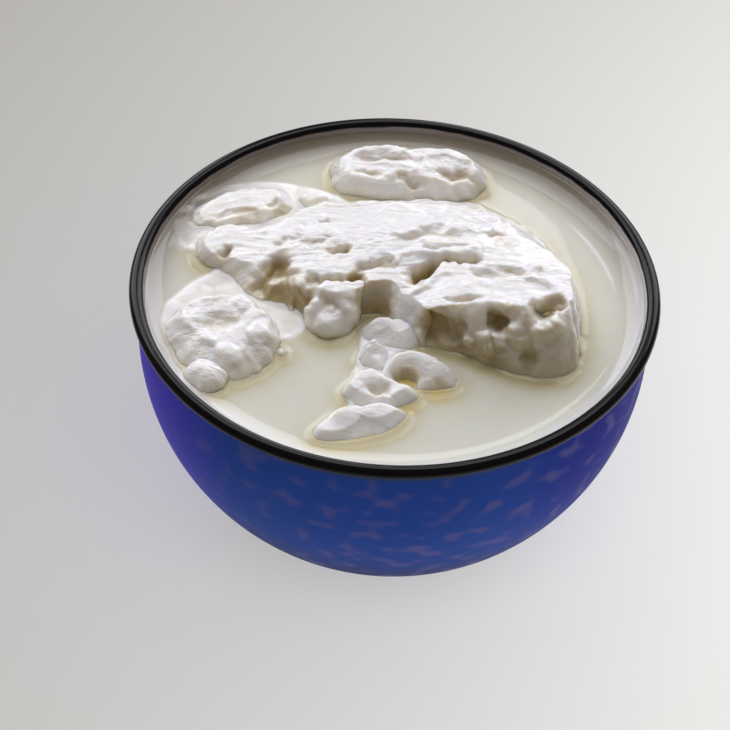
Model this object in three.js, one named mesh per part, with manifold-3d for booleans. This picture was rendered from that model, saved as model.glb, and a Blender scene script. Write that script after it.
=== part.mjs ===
// A bowl of curdled yogurt: white curds afloat in whey, in a round enamelled bowl
// with a rolled rim. Millimetres, +Z up. The origin is the middle of the base.
import * as THREE from 'three';
import { mergeVertices } from 'three/addons/utils/BufferGeometryUtils.js';
import Module from 'manifold-3d';

// ---- driving dimensions ----
const rimRadius = 70; // outermost, over the rolled rim
const bowlHeight = 70;
const baseRadius = 36; // flat underside
const wall = 1.1;
const footRun = 3.2; // the outside turns up from the base over this width
const footRise = 0.5;
const innerRun = 1.5; // and the inside over this
const innerRise = 0.4;
const floorInset = 1; // the flat floor inside ends this far in from the base's edge
const turnHeight = 1.6; // height above the base at which the sphere begins
const bodyRadius = 67.9; // the body is part of a sphere
const bodyCentreDrop = 14.3; // the sphere's centre below the rim's top
const rollHalfWidth = 1.9; // section of the rolled rim
const rollHalfHeight = 1.6;
const turns = 48; // facets round the bowl

const wheyDrop = 5; // whey level below the rim's top
const gap = 0.3; // between pieces that touch

const curdSink = 0.6; // a curd's outline lies this far under the whey
const curdKeel = 0.82; // the underside's width, as a share of the outline
const crownSpread = 5; // how far each of the crown's heights reaches
const evenSpine = [0.5, 0.5];
const underRings = [[0.95, 0.4], [curdKeel, 0.85], [0.45, 1]]; // shares of its outline and its depth
const rowCrowding = 1.5; // the rows lie closer towards the outline
const blendFrom = 0.25; // along a column, where the softened outline starts to give way
const blendTo = 0.95; // to the true one, and where it ends
const lowestTop = -0.3; // the top never dips further than this under the outline
const pitSteepness = 1.3;
const pitPower = 1.4;
const dabReach = 1.25; // as a share of its radius
const dabPower = 1.8;
const dabLift = 0.7; // how far a raised dab leans upwards
const level = bowlHeight - wheyDrop;

// ---- materials ----
const enamel = new THREE.MeshStandardMaterial({ color: 0x2f3f86, roughness: 0.18, metalness: 0 });
const wheyLiquid = new THREE.MeshStandardMaterial({ color: 0xcfccb4, roughness: 0.08, metalness: 0 });
const curdWhite = new THREE.MeshStandardMaterial({ color: 0xe9e5e0, roughness: 0.35, metalness: 0 });

// ---- the curds ----
// outline: where the curd meets the whey, as a smooth closed curve of [x, y, run], clockwise; the
// run is how far inwards the side goes before the top begins, and edge is the power of its curve.
// crown: [x, y, height above the whey] of its top; spread is how far each of these reaches.
// lumps: [x, y, radius, height] on it. pits: [x, y, half length, half width, turn in degrees, depth].
// dabs: [x, y, radius, rise], pushed out of the finished side or into it.
// spine: how far the rings stretch along x and y before they turn to the outline.
// depth: how far it hangs under the whey. columns, rows: how many faces it has.
const curds = {
  curd_main: {
    centre: [2, 9], spine: [0.82, 0.2], edge: 1.15, depth: 9, columns: 74, rows: 14,
    outline: [
      [48.5, -3, 6], [49, -12, 6.5], [47.8, -24, 8], [42, -28.5, 12], [35, -28.2, 13],
      [27, -25.6, 10.5], [18, -21.5, 6.5], [12, -19.4, 3.5], [8.4, -19.4, 4], [4.6, -18.6, 9],
      [1.4, -16, 8], [-0.4, -12, 7], [-1.8, -9, 5], [-4.4, -7.6, 3.6], [-7.4, -7.8, 3.4],
      [-9.2, -10, 5], [-10.4, -14, 7], [-14, -17.8, 9.5], [-19.5, -17.6, 9.5], [-23, -13.6, 7],
      [-25.4, -10.4, 7], [-28.8, -8.9, 9], [-34, -7.6, 9], [-38, -4.8, 8], [-41, -1, 6],
      [-43.7, 2.6, 6], [-47, 5.3, 5.5], [-51, 7.4, 4.5], [-54, 11, 4], [-55, 16, 3.8], [-52.5, 20, 4],
      [-49, 22, 4], [-45, 21.5, 4], [-41.5, 19.6, 4], [-37.5, 21.5, 5], [-32, 25.8, 6], [-27, 31, 7],
      [-20, 35, 9], [-10, 37.5, 11], [0, 39, 12], [11, 40, 13], [21, 39, 13], [28, 35.5, 13],
      [36, 28.5, 12], [41.5, 20, 11], [45.5, 11, 9], [48, 3, 7],
    ],
    crown: [
      [-51, 13, 4.4], [-47, 17, 4.8], [-46, 10, 3.8], [-42, 12, 4.8], [-42, 5, 3.4], [-38, 0.5, 4.2],
      [-37, 8, 6], [-37, 16, 6], [-33, 10, 7], [-33, -3.5, 5], [-29, -2, 6.4], [-28, 7, 7.5],
      [-27, 16, 8], [-25.5, 1.5, 7.5], [-21, 24, 8], [-20, 12, 8.5], [-22, -1, 8.5], [-15, 2, 9],
      [-12, 16, 9], [-12, 28, 8.5], [-21, -9, 8.6], [-16, -8.5, 9.2], [-17, -13.5, 6.8],
      [-12.5, -8, 8.9], [-17, -4, 9.3], [-8, -3, 9.3], [-4, -3, 9.3], [2, 3, 10], [3, -8, 9],
      [3, -13, 6.5], [9, -15, 12], [0, 12, 10.5], [0, 26, 9.5], [0, 33, 8], [12, 8, 12], [13, -4, 11.8],
      [15, -12, 12.5], [19, -13, 13.5], [22, -4, 13], [22, 6, 12.5], [20, 20, 10.5], [12, 30, 9],
      [22, 33, 7.5], [27, -13, 14], [32, -13.5, 14], [30, -5, 14], [32, 6, 13], [30, 18, 10.5],
      [38, -10, 14.5], [43, -8, 14], [44.5, -5, 13], [38, 0, 13.5], [44, 3, 12], [40, 12, 10],
    ],
    lumps: [[-37.5, -0.5, 2.4, 0.6]],
    pits: [
      [-31, 3.4, 3.6, 3.4, 50, 3.8], [-35, -0.4, 3.8, 2.8, 60, 2.2], [-29, -1.4, 3.4, 3, 0, 2.2],
      [-31, -5.6, 5.4, 2.6, -12, 1.8], [-23.6, -8.4, 2.6, 3.4, 12, 3.4], [-10.6, -2.5, 2.7, 2.2, 0, 5],
      [-15.1, 7.7, 3.2, 2, 8, 2.6], [-5.5, 29.3, 2.8, 1.4, 25, 1.8], [7, -1.4, 3.8, 2.8, 25, 6],
      [25.8, 13.3, 3, 2, 0, 1.4], [29, 9, 3.4, 2.6, -20, 1], [17.5, -14.2, 3.5, 1.6, 0, 1.6],
      [-20.9, 18.9, 2.4, 1, 8, 1.1], [-30.6, 10.9, 2.2, 1.6, 0, 0.9], [-46.3, 9.4, 2.6, 1.8, 40, 2.2],
    ],
    dabs: [
      [32.4, -17.4, 2.9, 3.6], [32.6, -20, 2.8, 3.8], [32.8, -22.8, 2.8, 2.6], [26.8, -19.4, 2.8, -3.2],
      [37, -17.2, 3.4, -4], [40.8, -15.8, 3.8, -3.2], [40.2, -21, 3.4, 4.2], [15, -18.6, 4, -2.6],
      [9.6, -18, 4.4, -4], [35.8, -26, 3.2, -1.6], [-17, -15.6, 4.2, 1.8], [-17, -11.2, 3, -1.5],
      [-22, -11.6, 3.2, 1.6], [-11.6, -12.4, 3, 1.4], [-25, -4.6, 3.8, 1.6],
    ],
  },
  curd_back: {
    centre: [1, 51], edge: 1.4, depth: 5, columns: 28, rows: 6,
    outline: [
      [-20, 46, 6], [-18.6, 53.5, 7], [-12, 58.6, 8], [-3, 60.8, 8], [8, 60.4, 8], [16, 58, 7],
      [22, 53.2, 5], [23.8, 48, 3.6], [22.4, 43, 4], [17, 39.6, 5], [8, 38.6, 5.5], [0, 38.4, 5.5],
      [-10, 38.8, 5.5], [-17, 41, 5.5],
    ],
    crown: [
      [-14, 48, 5], [-4, 49, 6.8], [0, 44, 5.6], [6, 49, 6.2], [-8, 43.5, 5], [14, 49, 6.8],
      [10, 44, 5.4], [19.5, 47, 5.6], [19, 43, 4.8], [0, 56, 6], [10, 56, 5.6],
    ],
    pits: [[15.6, 44.6, 5.4, 2.8, 6, 2.2], [2, 43, 4.6, 1.5, 4, 1.6], [-9, 43.6, 4, 1.4, -8, 1]],
  },
  curd_back_left: {
    centre: [-42, 31], edge: 1.3, depth: 3.5, columns: 22, rows: 5,
    outline: [
      [-57, 24, 4], [-56, 30, 4], [-51, 36, 4], [-44, 40, 5], [-36, 41, 5], [-30, 38, 4], [-29, 32, 4],
      [-35, 27, 3.5], [-43, 24, 3], [-50, 22.5, 3],
    ],
    crown: [[-52, 27, 2], [-44, 33, 3.6], [-36, 35, 3]],
    pits: [[-41, 27.5, 4, 1.8, 8, 1], [-33, 31, 3.4, 1.6, 20, 0.9]],
  },
  curd_back_small: {
    centre: [-23, 36], edge: 1.7, depth: 2, columns: 10, rows: 3,
    outline: [[-27, 37, 2.5], [-22, 39.5, 2.5], [-19, 37, 2.5], [-21, 34, 2.5], [-26, 33, 2.5]],
    crown: [[-23, 36, 2.5]],
  },
  curd_left: {
    centre: [-44, -20], edge: 1.6, spread: 3, depth: 5, columns: 30, rows: 7,
    outline: [
      [-57.8, -24, 8], [-59.4, -18.5, 6], [-58.2, -13.2, 5], [-54.4, -9.4, 4.4], [-49.2, -7.2, 4],
      [-43.6, -6.4, 4], [-38, -7.4, 4], [-33.2, -10.6, 4.4], [-30, -15.5, 5], [-28.8, -21, 6.5],
      [-29.8, -27, 8], [-33.4, -32, 9], [-38.6, -35.2, 10], [-45, -36, 10], [-51, -33.8, 9.5],
      [-55.4, -29.6, 9],
    ],
    crown: [
      [-43, -19.5, 5.2], [-50.5, -20, 5], [-48.5, -14, 5.6], [-43.5, -12.5, 6], [-37.5, -14.5, 6],
      [-35, -20.5, 5.4], [-38, -27, 4.6], [-44, -28, 4.2], [-50, -27, 4.2], [-54.5, -18, 4.4],
      [-46, -23, 4.6],
    ],
    pits: [[-43.5, -18.5, 5, 3.4, 0, 1]],
  },
  curd_left_front: {
    centre: [-47, -35.2], edge: 1.9, depth: 3.5, columns: 16, rows: 4,
    outline: [
      [-52.8, -35.6, 6], [-51.8, -31.4, 6], [-47.6, -29.6, 6], [-43.2, -31.2, 6], [-41, -35.2, 6],
      [-42.6, -39.4, 6], [-46.4, -41.2, 6], [-50.4, -39.6, 6],
    ],
    crown: [[-47, -34.8, 4.6]],
  },
  curd_trail_top: {
    centre: [-1, -15.5], edge: 1.4, spread: 2.4, depth: 2.5, columns: 16, rows: 4,
    outline: [
      [-8.8, -14.8, 3], [-7.4, -12.2, 3], [-3.6, -10.4, 3], [1.4, -11.2, 3], [6, -13.6, 3.2],
      [8.4, -17, 4.6], [5.4, -20.6, 5.4], [-1, -21, 6], [-7, -18.7, 5],
    ],
    crown: [
      [-5.8, -13.8, 3.8], [-2.6, -12.9, 4.8], [1.6, -14.2, 4.4], [-1, -17.6, 2.4], [5, -17, 3.6],
      [-4.6, -17, 2],
    ],
  },
  curd_trail_bead: {
    centre: [-4.8, -23.5], edge: 1.5, spread: 2, depth: 2, columns: 14, rows: 4,
    outline: [
      [-8.2, -22.4, 3.4], [-6.8, -20, 3.4], [-3.4, -19.8, 3.4], [-1.2, -22.4, 3.4], [-0.6, -26.4, 3.4],
      [-2.8, -29.4, 3], [-7.2, -29, 3], [-8.8, -25.6, 3],
    ],
    crown: [[-5, -22.2, 4.8], [-3, -26, 2.2], [-6.5, -26.8, 2.2]],
  },
  curd_trail_arch: {
    centre: [8, -30.5], edge: 1.4, spread: 2.4, depth: 3, columns: 26, rows: 7,
    outline: [
      [-3.6, -32, 2.6], [-2.8, -28.4, 2.8], [0.4, -24.8, 3], [4.8, -23.4, 3], [9.8, -24.4, 3],
      [14.6, -26.8, 3.6], [17.6, -30.6, 4.6], [16.4, -34.2, 4.4], [12, -35.4, 3], [7, -36.2, 2.4],
      [2, -36.8, 2], [-1.8, -35.4, 2],
    ],
    crown: [
      [-1, -29.8, 4], [2.2, -27.2, 5.2], [7.6, -27.4, 5.2], [12, -28.8, 4.8], [15.2, -31.2, 3.4],
      [9.6, -31, 4], [4.4, -31.6, 2], [4, -34, 0.4], [9, -34, 1.2], [14, -33.6, 1.6], [0, -34, 1],
    ],
    pits: [[4, -33.4, 3.8, 2.3, -8, 4.5]],
  },
  curd_trail_ring: {
    centre: [-3, -38], edge: 1.4, spread: 2.2, depth: 3, columns: 24, rows: 6,
    outline: [
      [-12, -39, 2.6], [-11.2, -34.4, 2.6], [-7.4, -30.8, 2.6], [-2.6, -31.4, 2.6], [1.6, -34, 2.6],
      [6.6, -36, 3.8], [7, -39, 4.2], [2.8, -42, 4], [-2, -43.8, 3.6], [-7.6, -43, 3.4],
    ],
    crown: [
      [-9.4, -37.4, 3.8], [-7, -34, 4.4], [-2, -34.6, 4], [3.2, -37, 3.4], [0.4, -40.8, 3],
      [-6.4, -41, 3], [-2.6, -38, 2],
    ],
    pits: [[-2.6, -38.4, 3.4, 1.2, -10, 1.4]],
  },
  curd_trail_tail: {
    centre: [-7, -48], edge: 1.4, spread: 2.6, depth: 3, columns: 20, rows: 4,
    outline: [
      [-18.8, -53, 2.6], [-16.2, -48.2, 2.8], [-11.6, -44.2, 3], [-4, -42.8, 3], [2.4, -42.6, 2.6],
      [5, -44.6, 4.4], [2.8, -49, 6.4], [-3.6, -53.4, 8], [-11, -55.8, 7], [-16.4, -55.6, 4.6],
    ],
    crown: [
      [-16, -51.6, 2.4], [-12, -47.4, 3.8], [-8, -46.4, 3.4], [-4, -45.4, 3.8], [1, -45, 2.8],
      [-7, -50.4, 1.6], [-12, -52.6, 1.4], [0, -48.4, 1.4],
    ],
  },
  curd_bit: {
    centre: [-28, -24], edge: 1.7, depth: 1.2, columns: 8, rows: 2,
    outline: [[-29.6, -24, 1.5], [-28, -22.6, 1.5], [-26.4, -24, 1.5], [-28, -25.5, 1.5]],
    crown: [[-28, -24, 1]],
  },
};

// ---- solids ----
const library = await Module();
library.setup();

function toSolid(geometry) {
  const bare = geometry.clone();
  bare.deleteAttribute('normal');
  bare.deleteAttribute('uv');
  const merged = mergeVertices(bare, 1e-5);
  return new library.Manifold(new library.Mesh({
    numProp: 3,
    vertProperties: new Float32Array(merged.attributes.position.array),
    triVerts: new Uint32Array(merged.index.array),
  }));
}

// The largest body of a solid, without the slivers that a cut can leave.
function largest(solid) {
  return solid.decompose().sort((a, b) => b.volume() - a.volume())[0];
}

function toMesh(name, solid, material) {
  const shape = solid.getMesh();
  const geometry = new THREE.BufferGeometry();
  geometry.setAttribute('position', new THREE.BufferAttribute(new Float32Array(shape.vertProperties), 3));
  geometry.setIndex(new THREE.BufferAttribute(new Uint32Array(shape.triVerts), 1));
  geometry.computeVertexNormals();
  const mesh = new THREE.Mesh(geometry, material);
  mesh.name = name;
  return mesh;
}

// A solid of revolution from [radius, height] pairs that start and end on the axis, bottom first.
function revolve(profile) {
  const points = profile.map(([r, z]) => new THREE.Vector2(r, z));
  return new THREE.LatheGeometry(points, turns).rotateX(Math.PI / 2);
}

// The sphere's arc in section, `inset` inside the body, from height `from` to height `to`.
function bodyArc(inset, from, to, steps) {
  const radius = bodyRadius - inset;
  const middle = bowlHeight - bodyCentreDrop;
  const start = Math.asin((from - middle) / radius);
  const end = Math.asin((to - middle) / radius);
  return Array.from({ length: steps + 1 }, (_, i) => {
    const angle = start + ((end - start) * i) / steps;
    return [radius * Math.cos(angle), middle + radius * Math.sin(angle)];
  });
}

// The rolled rim's ellipse in section, between two angles in degrees.
function rollArc(from, to, steps) {
  return Array.from({ length: steps + 1 }, (_, i) => {
    const angle = THREE.MathUtils.degToRad(from + ((to - from) * i) / steps);
    return [
      rimRadius - rollHalfWidth + rollHalfWidth * Math.cos(angle),
      bowlHeight - rollHalfHeight + rollHalfHeight * Math.sin(angle),
    ];
  });
}

function makeBowl() {
  const rollFoot = bowlHeight - 2 * rollHalfHeight; // where the outside wall meets the roll
  return revolve([
    [0, 0], [baseRadius, 0], [baseRadius + footRun, footRise],
    ...bodyArc(0, turnHeight, rollFoot, 6),
    ...rollArc(-90, 180, 8),
    ...bodyArc(wall, rollFoot, wall + turnHeight, 5),
    [baseRadius + innerRun, wall + innerRise], [baseRadius - floorInset, wall], [0, wall],
  ]);
}

// The whey fills the bowl to its level.
function makeWhey() {
  const inset = wall + gap;
  return revolve([
    [0, inset], [baseRadius - floorInset, inset], [baseRadius + innerRun, inset + innerRise],
    ...bodyArc(inset, inset + turnHeight, level, 5),
    [0, level],
  ]);
}

// ---- the shape of a curd ----
// The outline as evenly spaced points, anticlockwise, with the run as z.
function outlineRing(curd) {
  const points = curd.outline.map(([x, y, run]) => new THREE.Vector3(x, y, run)).reverse();
  const curve = new THREE.CatmullRomCurve3(points, true, 'catmullrom', 0.5);
  return curve.getSpacedPoints(curd.columns).slice(0, curd.columns);
}

// The outline with its bays and points smoothed away: each point goes to the middle of its two
// neighbours, over and over.
function softened(ring) {
  const passes = Math.round(ring.length / 4);
  let soft = ring.map(({ x, y }) => [x, y]);
  for (let pass = 0; pass < passes; pass += 1) {
    soft = soft.map((here, i) => {
      const last = soft[(i + soft.length - 1) % soft.length];
      const next = soft[(i + 1) % soft.length];
      return [0, 1].map((k) => here[k] / 2 + (last[k] + next[k]) / 4);
    });
  }
  return soft;
}

// Height above the outline: the crown's heights blended by bell weights, times the side's curve
// (1 - (1 - t)^edge)^(1/edge) in the share t of the run, plus the lumps, less the pits.
function curdHeight(curd, x, y, share) {
  const spread = curd.spread ?? crownSpread;
  let weights = 1e-9;
  let height = 0;
  for (const [px, py, h] of curd.crown) {
    const weight = Math.exp(-((x - px) ** 2 + (y - py) ** 2) / (2 * spread ** 2));
    weights += weight;
    height += weight * h;
  }
  const inward = THREE.MathUtils.clamp(share, 0, 1);
  let z = (height / weights + curdSink) * (1 - (1 - inward) ** curd.edge) ** (1 / curd.edge);
  for (const [px, py, radius, rise] of curd.lumps ?? []) {
    z += rise * Math.max(0, 1 - ((x - px) ** 2 + (y - py) ** 2) / radius ** 2) ** 2;
  }
  for (const [px, py, length, width, turn, depth] of curd.pits ?? []) {
    const angle = THREE.MathUtils.degToRad(turn);
    const along = ((x - px) * Math.cos(angle) + (y - py) * Math.sin(angle)) / length;
    const across = ((y - py) * Math.cos(angle) - (x - px) * Math.sin(angle)) / width;
    z -= depth * Math.exp(-pitSteepness * (along ** 2 + across ** 2) ** pitPower);
  }
  return Math.max(z, lowestTop);
}

// Pushes the top's points along its normals, by each dab's rise in the middle and less round it.
function pressDabs(curd, top) {
  const normals = top.map((row, k) => row.map((here, i) => {
    const down = new THREE.Vector3().subVectors((top[k + 1] ?? row)[i], (top[k - 1] ?? row)[i]);
    const across = new THREE.Vector3().subVectors(
      row[(i + 1) % row.length], row[(i + row.length - 1) % row.length]);
    return down.cross(across).normalize();
  }));
  const plain = top.map((row) => row.map((point) => point.clone()));
  const flatDistance = (point, x, y) => Math.hypot(point.x - x, point.y - y);
  for (const [x, y, radius, rise] of curd.dabs ?? []) {
    const middle = plain.flat().reduce((a, b) => (flatDistance(b, x, y) < flatDistance(a, x, y) ? b : a));
    plain.forEach((row, k) => row.forEach((point, i) => {
      const away = (point.distanceTo(middle) / (dabReach * radius)) ** 2;
      const way = normals[k][i].clone();
      if (rise > 0) way.add(new THREE.Vector3(0, 0, dabLift)).normalize();
      top[k][i].addScaledVector(way, rise * Math.max(0, 1 - away) ** dabPower);
    }));
  }
}

// A closed curd: rows from the top's middle out to the outline, and back in underneath. A column
// runs from the centre to its outline point; x and y follow 2 k s (1 - s) + s^2, with k the spine.
function makeCurd(curd, grow) {
  const [cx, cy] = curd.centre;
  const [kx, ky] = curd.spine ?? evenSpine;
  const foot = level - curdSink;
  const ring = outlineRing(curd);
  const soft = softened(ring);
  const { columns, rows } = curd;
  const outward = ring.map((_, i) => {
    const last = ring[(i + columns - 1) % columns];
    const next = ring[(i + 1) % columns];
    return new THREE.Vector2(next.y - last.y, last.x - next.x).normalize().multiplyScalar(grow);
  });
  const top = Array.from({ length: rows }, (_, k) => {
    const s = 1 - (1 - (k + 1) / rows) ** rowCrowding;
    const blend = THREE.MathUtils.smoothstep(s, blendFrom, blendTo);
    const outX = 2 * kx * s * (1 - s) + s * s;
    const outY = 2 * ky * s * (1 - s) + s * s;
    return ring.map((edge, i) => {
      const x = cx + outX * (THREE.MathUtils.lerp(soft[i][0], edge.x, blend) - cx);
      const y = cy + outY * (THREE.MathUtils.lerp(soft[i][1], edge.y, blend) - cy);
      const share = Math.hypot(edge.x - x, edge.y - y) / edge.z;
      return new THREE.Vector3(x, y, foot + curdHeight(curd, x, y, share));
    });
  });
  pressDabs(curd, top);
  const positions = [cx, cy, foot + grow + curdHeight(curd, cx, cy, 1)];
  top.forEach((row, k) => row.forEach((point, i) => {
    const part = (k + 1) / rows;
    positions.push(point.x + outward[i].x * part, point.y + outward[i].y * part, point.z + grow);
  }));
  for (const [share, depth] of underRings) {
    ring.forEach((edge, i) => positions.push(
      cx + (edge.x - cx) * share + outward[i].x, cy + (edge.y - cy) * share + outward[i].y,
      foot - grow - curd.depth * depth));
  }
  positions.push(cx, cy, foot - grow - curd.depth);

  const faces = [];
  const ringCount = rows + underRings.length;
  const last = 1 + ringCount * columns;
  const at = (k, i) => 1 + k * columns + (i % columns);
  for (let i = 0; i < columns; i += 1) {
    faces.push(0, at(0, i), at(0, i + 1));
    faces.push(last, at(ringCount - 1, i + 1), at(ringCount - 1, i));
    for (let k = 0; k + 1 < ringCount; k += 1) {
      faces.push(at(k, i), at(k + 1, i), at(k + 1, i + 1));
      faces.push(at(k, i), at(k + 1, i + 1), at(k, i + 1));
    }
  }
  const geometry = new THREE.BufferGeometry();
  geometry.setAttribute('position', new THREE.BufferAttribute(new Float32Array(positions), 3));
  geometry.setIndex(faces);
  return toSolid(geometry);
}

// ---- the object ----
const group = new THREE.Group();
group.add(toMesh('bowl', toSolid(makeBowl()), enamel));

// Each curd is kept clear of the ones before it, and the whey is cut round them all.
let whey = toSolid(makeWhey());
const taken = [];
for (const [name, curd] of Object.entries(curds)) {
  const shape = makeCurd(curd, 0);
  const room = makeCurd(curd, gap).add(shape);
  const solid = taken.reduce((rest, other) => rest.subtract(other), shape);
  group.add(toMesh(name, largest(solid), curdWhite));
  taken.push(room);
  whey = whey.subtract(room);
}
group.add(toMesh('whey', largest(whey), wheyLiquid));

export default group;
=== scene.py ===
import itertools
import math

import bpy
import numpy as np
from mathutils import Matrix, Vector


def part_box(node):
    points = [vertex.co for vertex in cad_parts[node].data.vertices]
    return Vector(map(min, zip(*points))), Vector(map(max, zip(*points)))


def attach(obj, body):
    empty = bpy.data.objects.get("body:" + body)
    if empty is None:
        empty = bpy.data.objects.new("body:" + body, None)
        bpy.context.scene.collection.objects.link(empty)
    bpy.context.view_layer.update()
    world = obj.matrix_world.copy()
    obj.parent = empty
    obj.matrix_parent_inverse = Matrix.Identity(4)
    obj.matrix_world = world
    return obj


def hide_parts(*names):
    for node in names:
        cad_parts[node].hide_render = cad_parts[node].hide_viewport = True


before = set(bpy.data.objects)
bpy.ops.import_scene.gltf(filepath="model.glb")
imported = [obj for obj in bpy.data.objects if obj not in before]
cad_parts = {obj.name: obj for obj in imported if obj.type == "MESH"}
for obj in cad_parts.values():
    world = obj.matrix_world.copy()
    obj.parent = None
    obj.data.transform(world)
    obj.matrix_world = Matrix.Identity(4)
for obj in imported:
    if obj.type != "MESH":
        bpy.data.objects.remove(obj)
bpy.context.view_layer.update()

mm = 0.001  # shapes below are worked out in millimetres and scaled once, when they become meshes

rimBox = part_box("bowl")
rimRadius = rimBox[1].x / mm
bowlHeight = rimBox[1].z / mm
wheyLevel = bowlHeight - 5.0  # the flat whey, 5 mm under the rim's top
print("frame loaded:", len(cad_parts), "nodes, rim radius", round(rimRadius, 1), "mm")


def hexToLinear(code):
    # sRGB hex to the linear colour that a shader socket takes
    parts = [int(code[i:i + 2], 16) / 255 for i in (1, 3, 5)]
    return [p / 12.92 if p <= 0.04045 else ((p + 0.055) / 1.055) ** 2.4 for p in parts] + [1.0]


def addNode(tree, kind, settings=None, sockets=None, links=None):
    # one shader node: its settings, the values of its sockets, and what is plugged into them
    node = tree.nodes.new(kind)
    for name, value in (settings or {}).items():
        setattr(node, name, value)
    for name, value in (sockets or {}).items():
        node.inputs[name].default_value = value
    for name, (source, output) in (links or {}).items():
        tree.links.new(source.outputs[output], node.inputs[name])
    return node


mixSockets = {"first": 6, "second": 7, "result": 2}  # a Mix node has a set of sockets for each type


def attribute(tree, name):
    # what a shader reads of a number that was worked out at each point of the mesh
    return addNode(tree, "ShaderNodeAttribute", {"attribute_name": name}), "Fac"


def noise(tree, place, sockets):
    return addNode(tree, "ShaderNodeTexNoise", {}, sockets, {"Vector": place}), "Fac"


def mapRange(tree, source, start, end, low=0.0, high=1.0, kind="SMOOTHSTEP"):
    # goes from low to high as the source goes from start to end
    return addNode(tree, "ShaderNodeMapRange", {"interpolation_type": kind},
                   {"From Min": start, "From Max": end, "To Min": low, "To Max": high},
                   {"Value": source}), 0


def mixColours(tree, factor, first, second):
    # a blend by the factor of two colours, each a hex code or a node with its output
    node = addNode(tree, "ShaderNodeMix", {"data_type": "RGBA"}, {}, {0: factor})
    for socket, colour in ((mixSockets["first"], first), (mixSockets["second"], second)):
        if isinstance(colour, str):
            node.inputs[socket].default_value = hexToLinear(colour)
        else:
            tree.links.new(colour[0].outputs[colour[1]], node.inputs[socket])
    return node, mixSockets["result"]


def setRamp(node, stops):
    # stops is a list of (place, hex colour)
    ramp = node.color_ramp
    while len(ramp.elements) < len(stops):
        ramp.elements.new(0.5)
    for element, (place, code) in zip(ramp.elements, stops):
        element.position = place
        element.color = hexToLinear(code)


def newMaterial(name):
    material = bpy.data.materials.new(name)
    material.use_nodes = True
    material.node_tree.nodes.clear()
    return material, material.node_tree


def finishMaterial(tree, sockets, links):
    shader = addNode(tree, "ShaderNodeBsdfPrincipled", {}, sockets, links)
    output = addNode(tree, "ShaderNodeOutputMaterial")
    tree.links.new(shader.outputs[0], output.inputs["Surface"])


def gridMesh(name, points, values):
    # A closed skin from a grid of points, rows by columns: the columns run round and join up,
    # and the first and last rows are each gathered into one pole.
    rows, columns = points.shape[:2]
    body = points[1:-1].reshape(-1, 3)
    first, last = len(body), len(body) + 1
    vertices = np.vstack([body, points[0].mean(0), points[-1].mean(0)]) * mm
    row, column = np.meshgrid(np.arange(rows - 3), np.arange(columns), indexing="ij")
    here = (row * columns + column).ravel()
    beside = (row * columns + (column + 1) % columns).ravel()
    quads = np.stack([here, here + columns, beside + columns, beside], 1)
    ring = np.arange(columns)
    after = (ring + 1) % columns
    base = (rows - 3) * columns
    caps = np.vstack([
        np.stack([np.full(columns, first), ring, after], 1),
        np.stack([np.full(columns, last), base + after, base + ring], 1),
    ])
    mesh = bpy.data.meshes.new(name)
    mesh.vertices.add(len(vertices))
    mesh.vertices.foreach_set("co", vertices.astype(np.float32).ravel())
    loops = np.concatenate([quads.ravel(), caps.ravel()])
    mesh.loops.add(len(loops))
    mesh.loops.foreach_set("vertex_index", loops.astype(np.int32))
    starts = np.concatenate([np.arange(len(quads)) * 4, len(quads) * 4 + np.arange(len(caps)) * 3])
    mesh.polygons.add(len(starts))
    mesh.polygons.foreach_set("loop_start", starts.astype(np.int32))
    mesh.polygons.foreach_set("use_smooth", np.ones(len(starts), bool))
    mesh.update(calc_edges=True)
    mesh.validate()
    for key, grid in values.items():
        layer = mesh.attributes.new(key, "FLOAT", "POINT")
        flat = np.concatenate([grid[1:-1].ravel(), [grid[0].mean(), grid[-1].mean()]])
        layer.data.foreach_set("value", flat.astype(np.float32))
    piece = bpy.data.objects.new(name, mesh)
    bpy.context.scene.collection.objects.link(piece)
    return piece


def dress(piece, material, slot, *nodes):
    piece.data.materials.append(material)
    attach(piece, "root")
    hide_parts(*nodes)


def waveNoise(points, wavelength, seed, waves=16):
    # A sum of sine waves in seeded directions, all near one wavelength: smooth, about -1 to 1.
    draw = np.random.default_rng(seed)
    directions = draw.normal(size=(waves, 3))
    directions /= np.linalg.norm(directions, axis=1, keepdims=True)
    lengths = wavelength * draw.uniform(0.7, 1.5, waves)
    phases = draw.uniform(0, 2 * math.pi, waves)
    turns = points @ (directions / lengths[:, None]).T * 2 * math.pi + phases
    return np.sin(turns).sum(-1) / math.sqrt(waves)


def scatter(corner, seed):
    # a repeatable number from 0 to 1 for each whole-number corner, three times over
    mix = corner @ np.array([[127.1, 269.5, 113.5], [311.7, 183.3, 271.9], [74.7, 246.1, 124.6]]) + seed
    return np.modf(np.abs(np.sin(mix) * 43758.5453))[0]


def lumpNoise(points, size, seed):
    # Round grains packed side by side: 1 in the middle of a grain, falling to a soft crease
    # where two meet. It is 1 + log(sum of exp(-7 d^2)) / 7, with d the distance to each of the
    # scattered seeds.
    scaled = points / size
    cell = np.floor(scaled)
    total = np.full(points.shape[:-1], 1e-9)
    for offset in itertools.product((-1, 0, 1), repeat=3):
        corner = cell + offset
        away = scaled - corner - scatter(corner, seed)
        total += np.exp(-7 * (away ** 2).sum(-1))
    return 1 + np.log(total) / 7


bowlSizes = {
    "baseRadius": 36.0,
    "wall": 1.1,
    "bodyRadius": 67.9,       # the body is part of a sphere
    "bodyCentreDrop": 14.3,   # its centre under the rim's top
    "turnHeight": 1.6,        # height above the base at which the sphere begins
    "rollHalfWidth": 1.9,     # the rolled rim's section
    "rollHalfHeight": 1.6,
    "farTurn": 2.1,           # where the painted shade inside is darkest, in radians from the right
    "columns": 256,
}


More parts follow.
